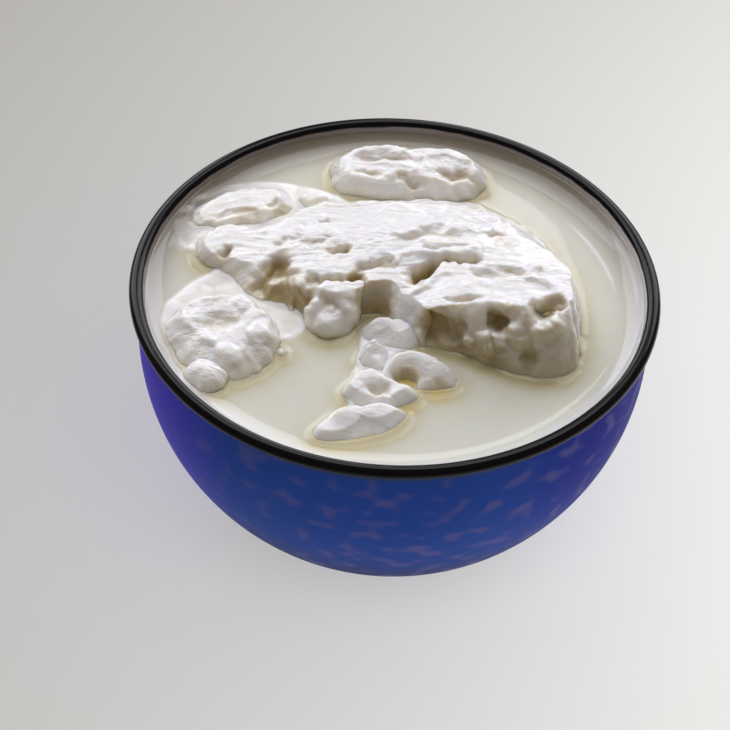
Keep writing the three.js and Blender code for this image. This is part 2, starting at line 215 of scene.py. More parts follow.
def bodyArc(inset, low, high, steps):
    # the sphere's arc in section, inset inside the body, between two heights
    radius = bowlSizes["bodyRadius"] - inset
    middle = bowlHeight - bowlSizes["bodyCentreDrop"]
    angle = np.linspace(math.asin((low - middle) / radius), math.asin((high - middle) / radius), steps)
    return np.stack([radius * np.cos(angle), middle + radius * np.sin(angle)], 1)


def rollArc(start, end, steps):
    # the rolled rim's ellipse in section, between two angles in degrees
    angle = np.radians(np.linspace(start, end, steps))
    wide, tall = bowlSizes["rollHalfWidth"], bowlSizes["rollHalfHeight"]
    return np.stack([rimRadius - wide + wide * np.cos(angle), bowlHeight - tall + tall * np.sin(angle)], 1)


def makeBowl(outside, inside):
    # The section, from the middle of the base out, up, over the roll and back down inside,
    # carried round the axis: x = r cos a, y = r sin a.
    s = bowlSizes
    foot = bowlHeight - 2 * s["rollHalfHeight"]
    base = s["baseRadius"]
    bodyRows, rollRows, insideRows = 44, 34, 40
    rollStart, rollEnd = -105, 180
    under = [[0, 0], [base * 0.5, 0], [base - 0.5, 0], [base, 0.02], [base + 1.2, 0.18], [base + 2.3, 0.5]]
    section = np.vstack([
        under,
        bodyArc(0, s["turnHeight"], foot, bodyRows),
        rollArc(rollStart, rollEnd, rollRows),
        bodyArc(s["wall"], s["wall"] + s["turnHeight"], foot, insideRows)[::-1],
        [[base + 1.5, s["wall"] + 0.4], [base - 1, s["wall"]], [base * 0.5, s["wall"]], [0, s["wall"]]],
    ])
    turn = np.linspace(0, 2 * math.pi, s["columns"], endpoint=False)
    radius, height = section[:, :1], section[:, 1:]
    points = np.stack([radius * np.cos(turn), radius * np.sin(turn), height + 0 * turn], -1)
    # along is the length along the section, which the enamel's three colours follow
    steps = np.hypot(*np.diff(section, axis=0).T)
    along = np.concatenate([[0], np.cumsum(steps)])
    rollFoot = len(under) + bodyRows
    rollTop = rollFoot + (rollRows - 1) * (90 - rollStart) // (rollEnd - rollStart)
    # painted shade on the far side of the inner wall, above the whey
    paintedFarShade = np.clip(0.5 + 0.75 * np.cos(turn - s["farTurn"]), 0, 1)
    values = {"fromRimTop": (along - along[rollTop])[:, None] + 0 * turn,
              "paintedFarShade": paintedFarShade + 0 * height}
    piece = gridMesh("enamelBowl", points, values)
    dress(piece, outside, "enamel", "bowl")
    piece.data.materials.append(inside)
    rows = np.repeat(np.arange(len(section) - 3) >= rollFoot, s["columns"])
    caps = np.repeat([False, True], s["columns"])
    piece.data.polygons.foreach_set("material_index", np.concatenate([rows, caps]).astype(np.int32))


def wanderingEdge(tree, place):
    # length along the section from the top of the rolled rim, shifted a few tenths of a millimetre
    wander = noise(tree, (place, "Object"), {"Scale": 140.0, "Detail": 2.0})
    offset = addNode(tree, "ShaderNodeMath", {"operation": "MULTIPLY_ADD"}, {1: 0.9, 2: -0.45},
                     {0: wander})
    return addNode(tree, "ShaderNodeMath", {"operation": "ADD"}, {},
                   {0: attribute(tree, "fromRimTop"), 1: (offset, 0)}), 0


def orangePeel(tree, place):
    # fired glass is never quite flat: soft waves a few millimetres across
    peel = noise(tree, (place, "Object"), {"Scale": 260.0, "Detail": 1.0})
    return addNode(tree, "ShaderNodeBump", {}, {"Strength": 0.05, "Distance": 0.0004},
                   {"Height": peel}), 0


def makeMottledEnamel():
    # Blue enamel outside, worn matt: glass fired on steel, IOR about 1.5, with paler mauve flecks
    # drawn out round the bowl. A greenish grey edge lies between it and the black rim.
    material, tree = newMaterial("mottledEnamel")
    place = addNode(tree, "ShaderNodeTexCoord")
    edge = wanderingEdge(tree, place)
    # flecks 3 to 8 mm long, drawn out sideways: the pattern is finer in height than round the bowl
    stretch = addNode(tree, "ShaderNodeMapping", {}, {"Scale": (180.0, 180.0, 240.0)},
                      {"Vector": (place, "Object")})
    fleckNoise = noise(tree, (stretch, 0), {"Scale": 1.0, "Detail": 0.3, "Roughness": 0.4})
    fleck = mapRange(tree, fleckNoise, 0.5, 0.78, high=0.6)
    # they thin out towards one side
    sides = addNode(tree, "ShaderNodeSeparateXYZ", {}, {}, {"Vector": (place, "Object")})
    dense = mapRange(tree, (sides, "X"), -0.06, 0.0, low=0.35, kind="LINEAR")
    flecks = addNode(tree, "ShaderNodeMath", {"operation": "MULTIPLY"}, {}, {0: fleck, 1: dense}), 0
    cloud = noise(tree, (place, "Object"), {"Scale": 35.0, "Detail": 2.0})
    colour = mixColours(tree, cloud, "#2c52b4", "#244cac")
    for factor, code in [
        (mapRange(tree, (sides, "Z"), 0.036, 0.008, high=0.95), "#021654"),  # painted shade, darker near the base
        (mapRange(tree, (sides, "X"), -0.034, -0.064), "#4a3ade"),           # painted sheen, violet at the left
        (mapRange(tree, (sides, "X"), 0.024, 0.06, high=0.9), "#12109a"),    # painted shade, darker violet-blue at the right
        (flecks, "#6d67a8"),
        (mapRange(tree, edge, -9.6, -8.0, high=0.7), "#46535a"),             # the greenish grey edge
        (mapRange(tree, edge, -8.3, -6.9), "#0c0a0b"),                       # the black rim
    ]:
        colour = mixColours(tree, factor, colour, code)
    finishMaterial(tree, {"Roughness": 0.5, "IOR": 1.5, "Specular IOR Level": 0.06},
                   {"Base Color": colour, "Normal": orangePeel(tree, place)})
    return material


def makeRimEnamel():
    # Glossy enamel, a thick coat of fired glass: black over the rolled rim, white down inside.
    material, tree = newMaterial("glossyRimEnamel")
    place = addNode(tree, "ShaderNodeTexCoord")
    inner = mapRange(tree, wanderingEdge(tree, place), 2.2, 2.7, kind="LINEAR")
    # the far side inside, above the level, is painted darker: painted shade
    white = mixColours(tree, attribute(tree, "paintedFarShade"), "#e8e4e1", "#8e847e")
    colour = mixColours(tree, inner, "#0c0a0b", white)
    finishMaterial(tree, {"Roughness": 0.12, "IOR": 1.5, "Specular IOR Level": 0.16},
                   {"Base Color": colour, "Normal": orangePeel(tree, place)})
    return material


makeBowl(makeMottledEnamel(), makeRimEnamel())
print("bowl made")


# outline: where a curd meets the whey, [x, y, run] in millimetres; the run is how far inwards its
# side goes before the top begins. crown: [x, y, height above the whey] of the top.
# lumps: [x, y, radius, height]. pits: [x, y, half length, half width, turn in degrees, depth].
# folds: a rise (or a fall, below nought) of some half width along a line of [x, y] points.
# dabs: [x, y, radius, rise], pushed out of the finished side or into it.
# wheyAndShadeSpots: [x, y, radius, strength], where a steep face is painted yellow-brown: whey lying on it,
# and painted shade.
# edge: how round the side is, 1 a straight slope and 2 a quarter circle. depth: of the keel below
# the outline. spread: how far the crown's heights reach. smear, grain, knobs: how strong the
# drawn-out ridges, the grain and the round knobs are. low: how much whey films its foot, and how
# much painted shade lies low on its side turned from the windows.
# spine: how far the rings stretch out along x and y before they turn to the outline.
curds = {
    "curd_main": {
        "centre": [2, 9], "spine": [0.82, 0.2], "edge": 1.15, "depth": 9,
        "smear": 0.4, "grain": 0.25, "knobs": 0.9,
        "outline": [
            [48.5, -3, 6], [49, -12, 6.5], [47.8, -24, 8], [42, -28.5, 12], [35, -28.2, 13],
            [27, -25.6, 10.5], [18, -21.5, 6.5], [12, -19.4, 3.5], [8.4, -19.4, 4], [4.6, -18.6, 9],
            [1.4, -16, 8], [-0.4, -12, 7], [-1.8, -9, 5], [-4.4, -7.6, 3.6], [-7.4, -7.8, 3.4],
            [-9.2, -10, 5], [-10.4, -14, 7], [-14, -17.8, 9.5], [-19.5, -17.6, 9.5],
            [-23, -13.6, 7], [-25.4, -10.4, 7], [-28.8, -8.9, 9], [-34, -7.6, 9], [-38, -4.8, 8],
            [-41, -1, 6], [-43.7, 2.6, 6], [-47, 5.3, 5.5], [-51, 7.4, 4.5], [-54, 11, 4], [-55, 16, 3.8],
            [-52.5, 20, 4], [-49, 22, 4], [-45, 21.5, 4], [-41.5, 19.6, 4], [-37.5, 21.5, 5],
            [-32, 25.8, 6], [-27, 31, 7], [-20, 35, 9], [-10, 37.5, 11], [0, 39, 12], [11, 40, 13],
            [21, 39, 13], [28, 35.5, 13], [36, 28.5, 12], [41.5, 20, 11], [45.5, 11, 9], [48, 3, 7]],
        "crown": [
            [-51, 13, 4.4], [-47, 17, 4.8], [-46, 10, 3.8], [-42, 12, 4.8], [-42, 5, 3.4], [-38, 0.5, 4.2],
            [-37, 8, 6], [-37, 16, 6], [-33, 10, 7], [-33, -3.5, 5], [-29, -2, 6.4], [-28, 7, 7.5],
            [-27, 16, 8], [-25.5, 1.5, 7.5], [-21, 24, 8], [-20, 12, 8.5], [-22, -1, 8.5],
            [-15, 2, 9], [-12, 16, 9], [-12, 28, 8.5], [-21, -9, 8.6], [-16, -8.5, 9.2],
            [-17, -13.5, 6.8], [-12.5, -8, 8.9], [-17, -4, 9.3], [-8, -3, 9.3], [-4, -3, 9.3],
            [2, 3, 10], [3, -8, 9],
            [3, -13, 6.5], [9, -15, 12], [0, 12, 10.5], [0, 26, 9.5], [0, 33, 8], [12, 8, 12],
            [13, -4, 11.8], [15, -12, 12.5], [19, -13, 13.5], [22, -4, 13], [22, 6, 12.5],
            [20, 20, 10.5], [12, 30, 9], [22, 33, 7.5], [27, -13, 14], [32, -13.5, 14],
            [30, -5, 14], [32, 6, 13], [30, 18, 10.5], [38, -10, 14.5], [43, -8, 14], [44.5, -5, 13],
            [38, 0, 13.5], [44, 3, 12], [40, 12, 10]],
        "lumps": [[-37.5, -0.5, 2.4, 0.6]],
        "pits": [
            [-31, 3.4, 3.6, 3.4, 50, 3.8], [-35, -0.4, 3.8, 2.8, 60, 2.2], [-29, -1.4, 3.4, 3, 0, 2.2],
            [-31, -5.6, 5.4, 2.6, -12, 1.8], [-23.6, -8.4, 2.6, 3.4, 12, 3.4],
            [-10.6, -2.5, 2.7, 2.2, 0, 5], [-15.1, 7.7, 3.2, 2, 8, 2.6], [-5.5, 29.3, 2.8, 1.4, 25, 1.8],
            [7, -1.4, 3.8, 2.8, 25, 6], [25.8, 13.3, 3, 2, 0, 1.4], [29, 9, 3.4, 2.6, -20, 1],
            [17.5, -14.2, 3.5, 1.6, 0, 1.6], [-20.9, 18.9, 2.4, 1, 8, 1.1], [-30.6, 10.9, 2.2, 1.6, 0, 0.9],
            [-46.3, 9.4, 2.6, 1.8, 40, 2.2], [-53, 13, 1.2, 1.6, 0, 0.8]],
        "folds": [
            [0.6, 1.2, [[-34, -2.2], [-31.4, -3.8], [-28.8, -4], [-27, -3]]],
            [-2.3, 1.2, [[-23, -2.6], [-18.4, -3.3], [-14.5, -3.6]]],
            [-2.6, 1.3, [[9, 0.8], [13, 2.2], [20.6, 2.0]]],
            [-1.7, 1.4, [[-9, 0.8], [-5.6, 1.3], [-0.4, 3.2]]],
            [0.9, 1.2, [[-0.5, 4.5], [6, 5.2], [14, 5.0], [22, 5.4]]],
            [0.9, 1.3, [[0, 13], [5, 15], [11, 17.5]]],
            [0.8, 1.2, [[14, 14.5], [19, 15.5], [24, 16]]],
            [0.8, 1.5, [[8, 9], [13, 9.5], [18, 8.5]]],
            [-0.8, 1.6, [[3, 11], [10, 12.5], [16, 11.5]]],
            [0.7, 1.2, [[20, -1], [27, -1.2], [33, -2]]],
            [-0.8, 1.2, [[21, -3.6], [28, -4.2], [34, -4.4]]],
            [1.0, 1.4, [[36, -1], [35, -5], [38, -7.5]]],
            [0.9, 1.2, [[12.5, -3], [9.8, -6], [6, -8]]],
            [-0.6, 1.2, [[-28, 12.5], [-22, 11.2], [-17, 11.8]]]],
        "dabs": [
            [32.4, -17.4, 2.9, 3.6], [32.6, -20, 2.8, 3.8], [32.8, -22.8, 2.8, 2.6],
            [26.8, -19.4, 2.8, -3.2], [24.4, -22, 2.6, 3.2], [27.8, -22.4, 2.4, 1.8],
            [37, -17.2, 3.4, -4], [40.8, -15.8, 3.8, -3.2], [40.2, -21, 3.4, 4.2],
            [37, -22, 2.4, 2.4], [19.6, -20.4, 2.4, 2.0], [15, -18.6, 4, -2.6],
            [9.6, -18, 4.4, -4], [35.8, -26, 3.2, -1.6],
            [-17, -15.6, 4.2, 1.8], [-17, -11.2, 3, -1.5],
            [-22, -11.6, 3.2, 1.6], [-11.6, -12.4, 3, 1.4], [-25, -4.6, 3.8, 1.6]],
        "wheyAndShadeSpots": [
            [-37, -3, 5, 0.4], [-33, -5, 5.5, 0.7], [-28, -6.4, 6, 0.9], [-24, -8.5, 4, 0.8],
            [-31, 2.5, 4.5, 0.7], [-5, -8, 6.5, 0.9], [-11, -10, 4, 0.6],
            [-10.6, -2.5, 3, 0.7],
            [9.5, -17.5, 5, 0.8], [15, -19, 5, 0.7], [27, -18, 4, 0.9], [41, -14, 5, 0.5],
            [22, -24, 9, 0.7], [34, -27, 10, 0.7], [45, -24, 7, 0.6]],
    },
    "curd_back": {
        "centre": [1, 51], "edge": 1.4, "depth": 5, "smear": 0.3, "grain": 0.35, "knobs": 0.5,
        "outline": [
            [-20, 46, 6], [-18.6, 53.5, 7], [-12, 58.6, 8], [-3, 60.8, 8], [8, 60.4, 8], [16, 58, 7],
            [22, 53.2, 5], [23.8, 48, 3.6], [22.4, 43, 4], [17, 39.6, 5], [8, 38.6, 5.5], [0, 38.4, 5.5],
            [-10, 38.8, 5.5], [-17, 41, 5.5]],
        "crown": [[-14, 48, 5], [-4, 49, 6.8], [0, 44, 5.6], [6, 49, 6.2], [-8, 43.5, 5], [14, 49, 6.8],
                  [10, 44, 5.4], [19.5, 47, 5.6], [19, 43, 4.8], [0, 56, 6], [10, 56, 5.6]],
        "pits": [[15.6, 44.6, 5.4, 2.8, 6, 2.2], [2, 43, 4.6, 1.5, 4, 1.6], [-9, 43.6, 4, 1.4, -8, 1.0]],
        "folds": [
            [0.8, 1.4, [[-15, 52], [-8, 54], [0, 53.6]]], [-0.7, 1.4, [[-10, 49.5], [-2, 50], [5, 49]]],
            [0.7, 1.2, [[8, 51], [13, 52.5], [18, 51]]]],
    },
    "curd_back_left": {
        "centre": [-42, 31], "edge": 1.3, "depth": 3.5, "smear": 0.2, "grain": 0.4, "knobs": 0.5,
        "outline": [
            [-57, 24, 4], [-56, 30, 4], [-51, 36, 4], [-44, 40, 5], [-36, 41, 5], [-30, 38, 4],
            [-29, 32, 4], [-35, 27, 3.5], [-43, 24, 3], [-50, 22.5, 3]],
        "crown": [[-52, 27, 2], [-44, 33, 3.6], [-36, 35, 3]],
        "pits": [[-41, 27.5, 4, 1.8, 8, 1.0], [-33, 31, 3.4, 1.6, 20, 0.9], [-47.5, 27, 2, 1.6, 0, 0.5]],
        "wheyAndShadeSpots": [[-41, 26, 5, 0.4], [-33, 30, 4, 0.4]],
    },
    "curd_back_small": {
        "centre": [-23, 36], "edge": 1.7, "depth": 2, "smear": 0, "grain": 0.25, "knobs": 1.0,
        "outline": [[-27, 37, 2.5], [-22, 39.5, 2.5], [-19, 37, 2.5], [-21, 34, 2.5], [-26, 33, 2.5]],
        "crown": [[-23, 36, 2.5]],
    },
    "curd_left": {
        "centre": [-44, -20], "edge": 1.6, "spread": 3, "depth": 5,
        "smear": 0.1, "grain": 0.3, "knobs": 0.4,
        "outline": [
            [-57.8, -24, 8], [-59.4, -18.5, 6], [-58.2, -13.2, 5], [-54.4, -9.4, 4.4], [-49.2, -7.2, 4],
            [-43.6, -6.4, 4], [-38, -7.4, 4], [-33.2, -10.6, 4.4], [-30, -15.5, 5], [-28.8, -21, 6.5],
            [-29.8, -27, 8], [-33.4, -32, 9], [-38.6, -35.2, 10], [-45, -36, 10], [-51, -33.8, 9.5],
            [-55.4, -29.6, 9]],
        "crown": [
            [-43, -19.5, 5.2], [-50.5, -20, 5], [-48.5, -14, 5.6], [-43.5, -12.5, 6], [-37.5, -14.5, 6],
            [-35, -20.5, 5.4], [-38, -27, 4.6], [-44, -28, 4.2], [-50, -27, 4.2], [-54.5, -18, 4.4],
            [-46, -23, 4.6]],
        "pits": [[-43.5, -18.5, 5, 3.4, 0, 1.0]],
        "folds": [[0.5, 1.3, [[-54.6, -14.6], [-50.4, -11.4], [-45, -10.2]]]],
        "dabs": [
            [-33.6, -22, 3.6, 1.2], [-41, -29.6, 3.8, 1.0], [-53, -18, 3.6, 0.8], [-38.6, -11, 3.6, 0.8],
            [-47.6, -25, 3.2, 0.7], [-36, -16.4, 3, 0.6]],
        "wheyAndShadeSpots": [[-33, -30, 6, 0.3]],
    },
    "curd_left_front": {
        "centre": [-47, -35.2], "edge": 1.9, "depth": 3.5, "smear": 0, "grain": 0.2, "knobs": 0.5,
        "outline": [
            [-52.8, -35.6, 6], [-51.8, -31.4, 6], [-47.6, -29.6, 6], [-43.2, -31.2, 6], [-41, -35.2, 6],
            [-42.6, -39.4, 6], [-46.4, -41.2, 6], [-50.4, -39.6, 6]],
        "crown": [[-47, -34.8, 4.6]],
    },
    "curd_trail_top": {
        "centre": [-1, -15.5], "edge": 1.4, "spread": 2.4, "depth": 2.5, "low": 0.06,
        "smear": 0, "grain": 0.2, "knobs": 0.25,
        "outline": [
            [-8.8, -14.8, 3], [-7.4, -12.2, 3], [-3.6, -10.4, 3], [1.4, -11.2, 3], [6, -13.6, 3.2],
            [8.4, -17, 4.6], [5.4, -20.6, 5.4], [-1, -21, 6], [-7, -18.7, 5]],
        "crown": [
            [-5.8, -13.8, 3.8], [-2.6, -12.9, 4.8], [1.6, -14.2, 4.4], [-1, -17.6, 2.4], [5, -17, 3.6],
            [-4.6, -17, 2]],
    },
    "curd_trail_bead": {
        "centre": [-4.8, -23.5], "edge": 1.5, "spread": 2.0, "depth": 2, "low": 0.06,
        "smear": 0, "grain": 0.12, "knobs": 0.15,
        "outline": [
            [-8.2, -22.4, 3.4], [-6.8, -20, 3.4], [-3.4, -19.8, 3.4], [-1.2, -22.4, 3.4],
            [-0.6, -26.4, 3.4], [-2.8, -29.4, 3], [-7.2, -29, 3], [-8.8, -25.6, 3]],
        "crown": [[-5, -22.2, 4.8], [-3, -26, 2.2], [-6.5, -26.8, 2.2]],
    },
    "curd_trail_arch": {
        "centre": [8, -30.5], "edge": 1.4, "spread": 2.4, "depth": 3, "low": 0.06,
        "smear": 0, "grain": 0.18, "knobs": 0.2,
        "outline": [
            [-3.6, -32, 2.6], [-2.8, -28.4, 2.8], [0.4, -24.8, 3], [4.8, -23.4, 3], [9.8, -24.4, 3],
            [14.6, -26.8, 3.6], [17.6, -30.6, 4.6], [16.4, -34.2, 4.4], [12, -35.4, 3], [7, -36.2, 2.4],
            [2, -36.8, 2], [-1.8, -35.4, 2]],
        "crown": [
            [-1, -29.8, 4], [2.2, -27.2, 5.2], [7.6, -27.4, 5.2], [12, -28.8, 4.8], [15.2, -31.2, 3.4],
            [9.6, -31, 4], [4.4, -31.6, 2], [4, -34, 0.4], [9, -34, 1.2], [14, -33.6, 1.6], [0, -34, 1]],
        "pits": [[4, -33.4, 3.8, 2.3, -8, 4.5]],
        "wheyAndShadeSpots": [[4, -31.5, 5, 0.9], [12.5, -33.5, 4.5, 0.9]],
    },
    "curd_trail_ring": {
        "centre": [-3, -38], "edge": 1.4, "spread": 2.2, "depth": 3, "low": 0.06,
        "smear": 0, "grain": 0.18, "knobs": 0.2,
        "outline": [
            [-12, -39, 2.6], [-11.2, -34.4, 2.6], [-7.4, -30.8, 2.6], [-2.6, -31.4, 2.6], [1.6, -34, 2.6],
            [6.6, -36, 3.8], [7, -39, 4.2], [2.8, -42, 4], [-2, -43.8, 3.6], [-7.6, -43, 3.4]],
        "crown": [
            [-9.4, -37.4, 3.8], [-7, -34, 4.4], [-2, -34.6, 4], [3.2, -37, 3.4], [0.4, -40.8, 3],
            [-6.4, -41, 3], [-2.6, -38, 2]],
        "pits": [[-2.6, -38.4, 3.4, 1.2, -10, 1.4]],
    },
    "curd_trail_tail": {
        "centre": [-7, -48], "edge": 1.4, "spread": 2.6, "depth": 3, "low": 0.06,
        "smear": 0, "grain": 0.18, "knobs": 0.2,
        "outline": [
            [-18.8, -53, 2.6], [-16.2, -48.2, 2.8], [-11.6, -44.2, 3], [-4, -42.8, 3], [2.4, -42.6, 2.6],
            [5, -44.6, 4.4], [2.8, -49, 6.4], [-3.6, -53.4, 8], [-11, -55.8, 7], [-16.4, -55.6, 4.6]],
        "crown": [
            [-16, -51.6, 2.4], [-12, -47.4, 3.8], [-8, -46.4, 3.4], [-4, -45.4, 3.8], [1, -45, 2.8],
            [-7, -50.4, 1.6], [-12, -52.6, 1.4], [0, -48.4, 1.4]],
    },
    "curd_bit": {
        "centre": [-28, -24], "edge": 1.7, "depth": 1.2, "smear": 0, "grain": 0.15, "knobs": 0.6,
        "outline": [[-29.6, -24, 1.5], [-28, -22.6, 1.5], [-26.4, -24, 1.5], [-28, -25.5, 1.5]],
        "crown": [[-28, -24, 1.0]],
    },
}
curdSink = 0.6   # a curd's outline lies this far under the whey
curdKeel = 0.82  # the underside's width, as a share of the outline
crownSpread = 5.0  # how far each of the crown's heights reaches; a curd may have its own spread
lowestTop = -0.3  # the top never dips further than this under the outline
pitSteepness, pitPower = 1.3, 1.4
dabReach, dabPower = 1.25, 1.8  # the reach is a share of its radius
dabLift = 0.7  # how far a raised dab leans upwards
curdMesh = {
    "columnStep": 0.45,    # round the outline
    "columns": (72, 600),  # fewest and most
    "rowStep": 0.36,       # down the slope
    "slope": 1.25,         # how much longer that is than the way out
    "rows": (22, 155),
    "fineRows": 260,       # for measuring the slope
    "roughSteps": 64,      # for measuring the outline
}
outlineBlur = 0.05  # how much of the way round the bays and points are smoothed over
blendFrom, blendTo = 0.25, 0.95  # the rings turn from the smoothed outline to the real one
curdRelief = {
    "waves": [[9, 0.8], [4.5, 0.5], [2.2, 0.2]],  # [wavelength, share of the grain]
    "knobs": 5.4,       # size of the round knobs, and of the small ones on them
    "smallKnobs": 2.7,
    "grain": 3.0,
    "filmHeight": 3.0,  # how quickly the whey film with its painted shade, and the lighter wet foot, fade upwards
    "wetAndLiftedFoot": 0.5,
    "wetHeight": 0.8,
}


def smoothLoop(points, count):
    # a closed curve through the points, anticlockwise, each stretch a Catmull-Rom cubic, in steps
    # of equal length
    p = np.array(points, float)[::-1]
    at = np.linspace(0, len(p), 12 * count, endpoint=False)
    i = at.astype(int)
    t = (at - i)[:, None]
    a, b, c, d = (p[(i + k) % len(p)] for k in (-1, 0, 1, 2))
    square, cube = 2 * a - 5 * b + 4 * c - d, 3 * b - a - 3 * c + d
    loop = 0.5 * (2 * b + (c - a) * t + square * t ** 2 + cube * t ** 3)
    step = np.hypot(*np.diff(np.vstack([loop, loop[:1]])[:, :2], axis=0).T)
    along = np.concatenate([[0], np.cumsum(step)])
    want = np.linspace(0, along[-1], count, endpoint=False)
    closed = np.vstack([loop, loop[:1]])
    return np.stack([np.interp(want, along, closed[:, k]) for k in range(p.shape[1])], 1)


def fromLine(x, y, path):
    # distance in plan to a line of points
    best = np.full(x.shape, 1e9)
    for (ax, ay), (bx, by) in zip(path[:-1], path[1:]):
        dx, dy = bx - ax, by - ay
        t = np.clip(((x - ax) * dx + (y - ay) * dy) / (dx * dx + dy * dy), 0, 1)
        best = np.minimum(best, np.hypot(x - ax - t * dx, y - ay - t * dy))
    return best


def ragged(x, y):
    # plan places shifted by up to a millimetre and a half, so that no hollow or rim is a clean oval
    flat = np.stack([x, y, 0 * x], -1)
    shiftX = 0.75 * waveNoise(flat, 7.5, 301) + 0.4 * waveNoise(flat, 3.4, 302)
    shiftY = 0.75 * waveNoise(flat, 7.5, 303) + 0.4 * waveNoise(flat, 3.4, 304)
    return x + shiftX, y + shiftY


def raggedRing(curd, count):
    # the outline as a curve, roughened by a few tenths of a millimetre
    ring = smoothLoop(curd["outline"], count)
    flat = ring * (1, 1, 0)
    ring[:, 0] += 0.32 * waveNoise(flat, 6, 311) + 0.12 * waveNoise(flat, 2.8, 312)
    ring[:, 1] += 0.32 * waveNoise(flat, 6, 313) + 0.12 * waveNoise(flat, 2.8, 314)
    return ring


def curdHeight(curd, x, y, inward):
    # Height above the outline: the crown's heights blended by bell weights, times the side's
    # curve (1 - (1 - t)^p)^(1/p) in the share t of the run, plus lumps and folds, less pits.
    crown = np.array(curd["crown"], float)
    away = (x[..., None] - crown[:, 0]) ** 2 + (y[..., None] - crown[:, 1]) ** 2
    weight = np.exp(-away / (2 * curd.get("spread", crownSpread) ** 2)) + 1e-9
    top = (weight * crown[:, 2]).sum(-1) / weight.sum(-1)
    power = curd["edge"]
    t = np.clip(inward, 0, 1)
    side = (1 - (1 - t) ** power) ** (1 / power)
    z = (top + curdSink) * side
    hollow = np.zeros_like(z)
    x, y = ragged(x, y)
    for px, py, radius, rise in curd.get("lumps", []):
        z = z + rise * np.clip(1 - ((x - px) ** 2 + (y - py) ** 2) / radius ** 2, 0, 1) ** 2
    for rise, width, path in curd.get("folds", []):
        fold = rise * np.exp(-(fromLine(x, y, path) / width) ** 2) * side
        z, hollow = z + fold, hollow - np.minimum(fold, 0)
    for px, py, length, width, turn, depth in curd.get("pits", []):
        a = math.radians(turn)
        u = (x - px) * math.cos(a) + (y - py) * math.sin(a)
        v = (y - py) * math.cos(a) - (x - px) * math.sin(a)
        pit = depth * np.exp(-pitSteepness * ((u / length) ** 2 + (v / width) ** 2) ** pitPower)
        z, hollow = z - pit, hollow + pit
    return np.maximum(z, lowestTop), hollow


def gridNormals(points):
    # outward normals of a grid whose second index runs round
    down = np.gradient(points, axis=0)
    across = (np.roll(points, -1, 1) - np.roll(points, 1, 1)) / 2
    normal = np.cross(down, across)
    return normal / (np.linalg.norm(normal, axis=-1, keepdims=True) + 1e-12)


def softened(ring):
    # the outline with its bays and points smoothed away, by a bell filter round the loop
    count = len(ring)
    turns = np.fft.fftfreq(count, 1 / count)
    keep = np.exp(-2 * (math.pi * turns * outlineBlur) ** 2)
    return np.stack([np.fft.ifft(np.fft.fft(ring[:, k]) * keep).real for k in (0, 1)], 1)


def curdRings(curd, ring, share):
    # Each column runs from the centre to its outline point. x and y follow
    # 2 k s (1 - s) + s^2, with k the spine's share along each, so the columns bend; the inner
    # rings follow the softened outline, so that they never cross.
    cx, cy = curd["centre"]
    kx, ky = curd.get("spine", [0.5, 0.5])
    soft = softened(ring)
    blend = np.clip((share - blendFrom) / (blendTo - blendFrom), 0, 1)
    blend = blend * blend * (3 - 2 * blend)
    outX = soft[:, 0] + (ring[:, 0] - soft[:, 0]) * blend - cx
    outY = soft[:, 1] + (ring[:, 1] - soft[:, 1]) * blend - cy
    x = cx + (2 * kx * share * (1 - share) + share ** 2) * outX
    y = cy + (2 * ky * share * (1 - share) + share ** 2) * outY
    return x, y


